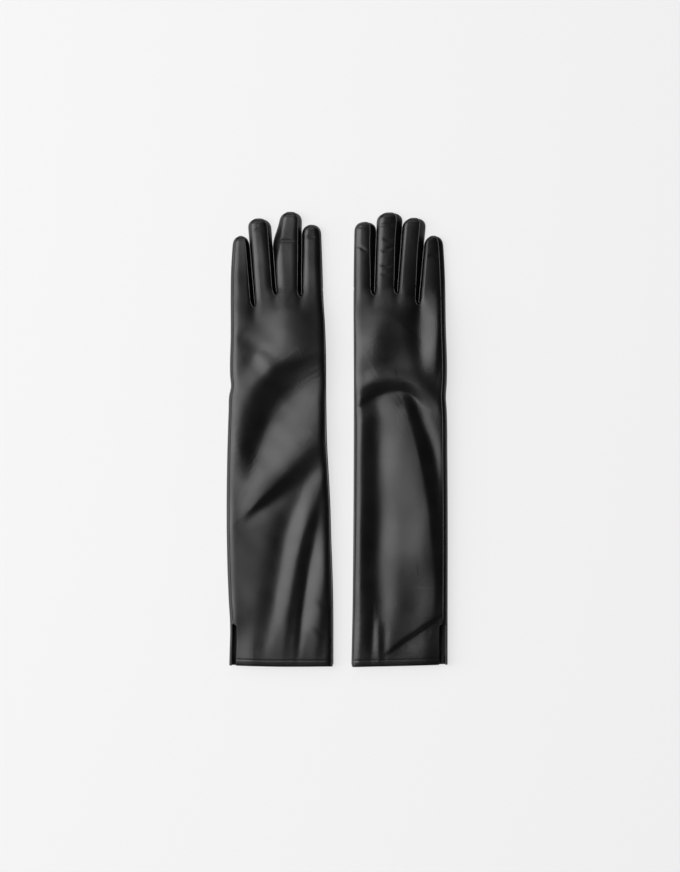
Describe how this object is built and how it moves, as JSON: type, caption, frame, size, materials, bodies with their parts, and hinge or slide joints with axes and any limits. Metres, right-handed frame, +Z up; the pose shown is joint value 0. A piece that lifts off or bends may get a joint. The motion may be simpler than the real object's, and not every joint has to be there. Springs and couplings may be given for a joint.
{
  "type": "opera gloves",
  "caption": "Pair of long smooth faux-leather opera gloves with narrow fingers, a tucked thumb, a turned hem and a side vent at the cuff, lying flat with backs up.",
  "frame": {"origin": "on the surface the gloves lie on, under the middle of the pair's box", "axes": "+Y towards the fingertips along both gloves, +Z up through the backs of the gloves, +X towards the right glove"},
  "size_m": [0.2254, 0.4686, 0.0204],
  "materials": {
    "leather": "smooth black coated faux leather, satin gloss",
    "lining": "fine black knit"
  },
  "bodies": {
    "left_sleeve": {"left_sleeve_back": "leather", "left_sleeve_palm": "leather", "left_sleeve_lining": "lining", "left_cuff_hem": "leather"},
    "left_hand": {"left_hand_back": "leather", "left_hand_palm": "leather", "left_hand_lining": "lining", "left_fork_index_middle": "leather", "left_fork_middle_ring": "leather", "left_fork_ring_little": "leather"},
    "left_thumb": {"left_thumb_stall": "leather", "left_thumb_lining": "lining"},
    "left_index": {"left_index_back": "leather", "left_index_palm": "leather", "left_index_fork_strip_outer": "leather", "left_index_lining": "lining"},
    "left_middle": {"left_middle_back": "leather", "left_middle_palm": "leather", "left_middle_fork_strip_inner": "leather", "left_middle_fork_strip_outer": "leather", "left_middle_lining": "lining"},
    "left_ring": {"left_ring_back": "leather", "left_ring_palm": "leather", "left_ring_fork_strip_inner": "leather", "left_ring_fork_strip_outer": "leather", "left_ring_lining": "lining"},
    "left_little": {"left_little_back": "leather", "left_little_palm": "leather", "left_little_fork_strip_inner": "leather", "left_little_lining": "lining"},
    "right_sleeve": {"right_sleeve_back": "leather", "right_sleeve_palm": "leather", "right_sleeve_lining": "lining", "right_cuff_hem": "leather"},
    "right_hand": {"right_hand_back": "leather", "right_hand_palm": "leather", "right_hand_lining": "lining", "right_fork_index_middle": "leather", "right_fork_middle_ring": "leather", "right_fork_ring_little": "leather"},
    "right_thumb": {"right_thumb_stall": "leather", "right_thumb_lining": "lining"},
    "right_index": {"right_index_back": "leather", "right_index_palm": "leather", "right_index_fork_strip_outer": "leather", "right_index_lining": "lining"},
    "right_middle": {"right_middle_back": "leather", "right_middle_palm": "leather", "right_middle_fork_strip_inner": "leather", "right_middle_fork_strip_outer": "leather", "right_middle_lining": "lining"},
    "right_ring": {"right_ring_back": "leather", "right_ring_palm": "leather", "right_ring_fork_strip_inner": "leather", "right_ring_fork_strip_outer": "leather", "right_ring_lining": "lining"},
    "right_little": {"right_little_back": "leather", "right_little_palm": "leather", "right_little_fork_strip_inner": "leather", "right_little_lining": "lining"}
  },
  "joints": [
    {"name": "left_wrist", "type": "hinge", "parent": "left_sleeve", "child": "left_hand", "pos_m": [-0.064, 0.04972, 0.009], "axis": [-1, 0, 0], "range_deg": [-50, 55]},
    {"name": "left_thumb_out", "type": "hinge", "parent": "left_hand", "child": "left_thumb", "pos_m": [-0.044, 0.07572, 0.0039], "axis": [0, 0, -1], "range_deg": [0, 52]},
    {"name": "left_index_bend", "type": "hinge", "parent": "left_hand", "child": "left_index", "pos_m": [-0.027, 0.15692, 0.0055], "axis": [-1, 0, 0], "range_deg": [-20, 90]},
    {"name": "left_middle_bend", "type": "hinge", "parent": "left_hand", "child": "left_middle", "pos_m": [-0.0502, 0.15882, 0.0055], "axis": [-1, 0, 0], "range_deg": [-20, 90]},
    {"name": "left_ring_bend", "type": "hinge", "parent": "left_hand", "child": "left_ring", "pos_m": [-0.0741, 0.15882, 0.0055], "axis": [-1, 0, 0], "range_deg": [-20, 90]},
    {"name": "left_little_bend", "type": "hinge", "parent": "left_hand", "child": "left_little", "pos_m": [-0.0979, 0.14662, 0.0055], "axis": [-1, 0, 0], "range_deg": [-20, 90]},
    {"name": "right_glove_lift", "type": "slide", "parent": "left_sleeve", "child": "right_sleeve", "axis": [0, 0, 1], "range_m": [0, 0.12]},
    {"name": "right_wrist", "type": "hinge", "parent": "right_sleeve", "child": "right_hand", "pos_m": [0.064, 0.04972, 0.009], "axis": [-1, 0, 0], "range_deg": [-50, 55]},
    {"name": "right_thumb_out", "type": "hinge", "parent": "right_hand", "child": "right_thumb", "pos_m": [0.044, 0.07572, 0.0039], "axis": [0, 0, 1], "range_deg": [0, 52]},
    {"name": "right_index_bend", "type": "hinge", "parent": "right_hand", "child": "right_index", "pos_m": [0.027, 0.15692, 0.0055], "axis": [-1, 0, 0], "range_deg": [-20, 90]},
    {"name": "right_middle_bend", "type": "hinge", "parent": "right_hand", "child": "right_middle", "pos_m": [0.0502, 0.15882, 0.0055], "axis": [-1, 0, 0], "range_deg": [-20, 90]},
    {"name": "right_ring_bend", "type": "hinge", "parent": "right_hand", "child": "right_ring", "pos_m": [0.0741, 0.15882, 0.0055], "axis": [-1, 0, 0], "range_deg": [-20, 90]},
    {"name": "right_little_bend", "type": "hinge", "parent": "right_hand", "child": "right_little", "pos_m": [0.0979, 0.14662, 0.0055], "axis": [-1, 0, 0], "range_deg": [-20, 90]}
  ]
}
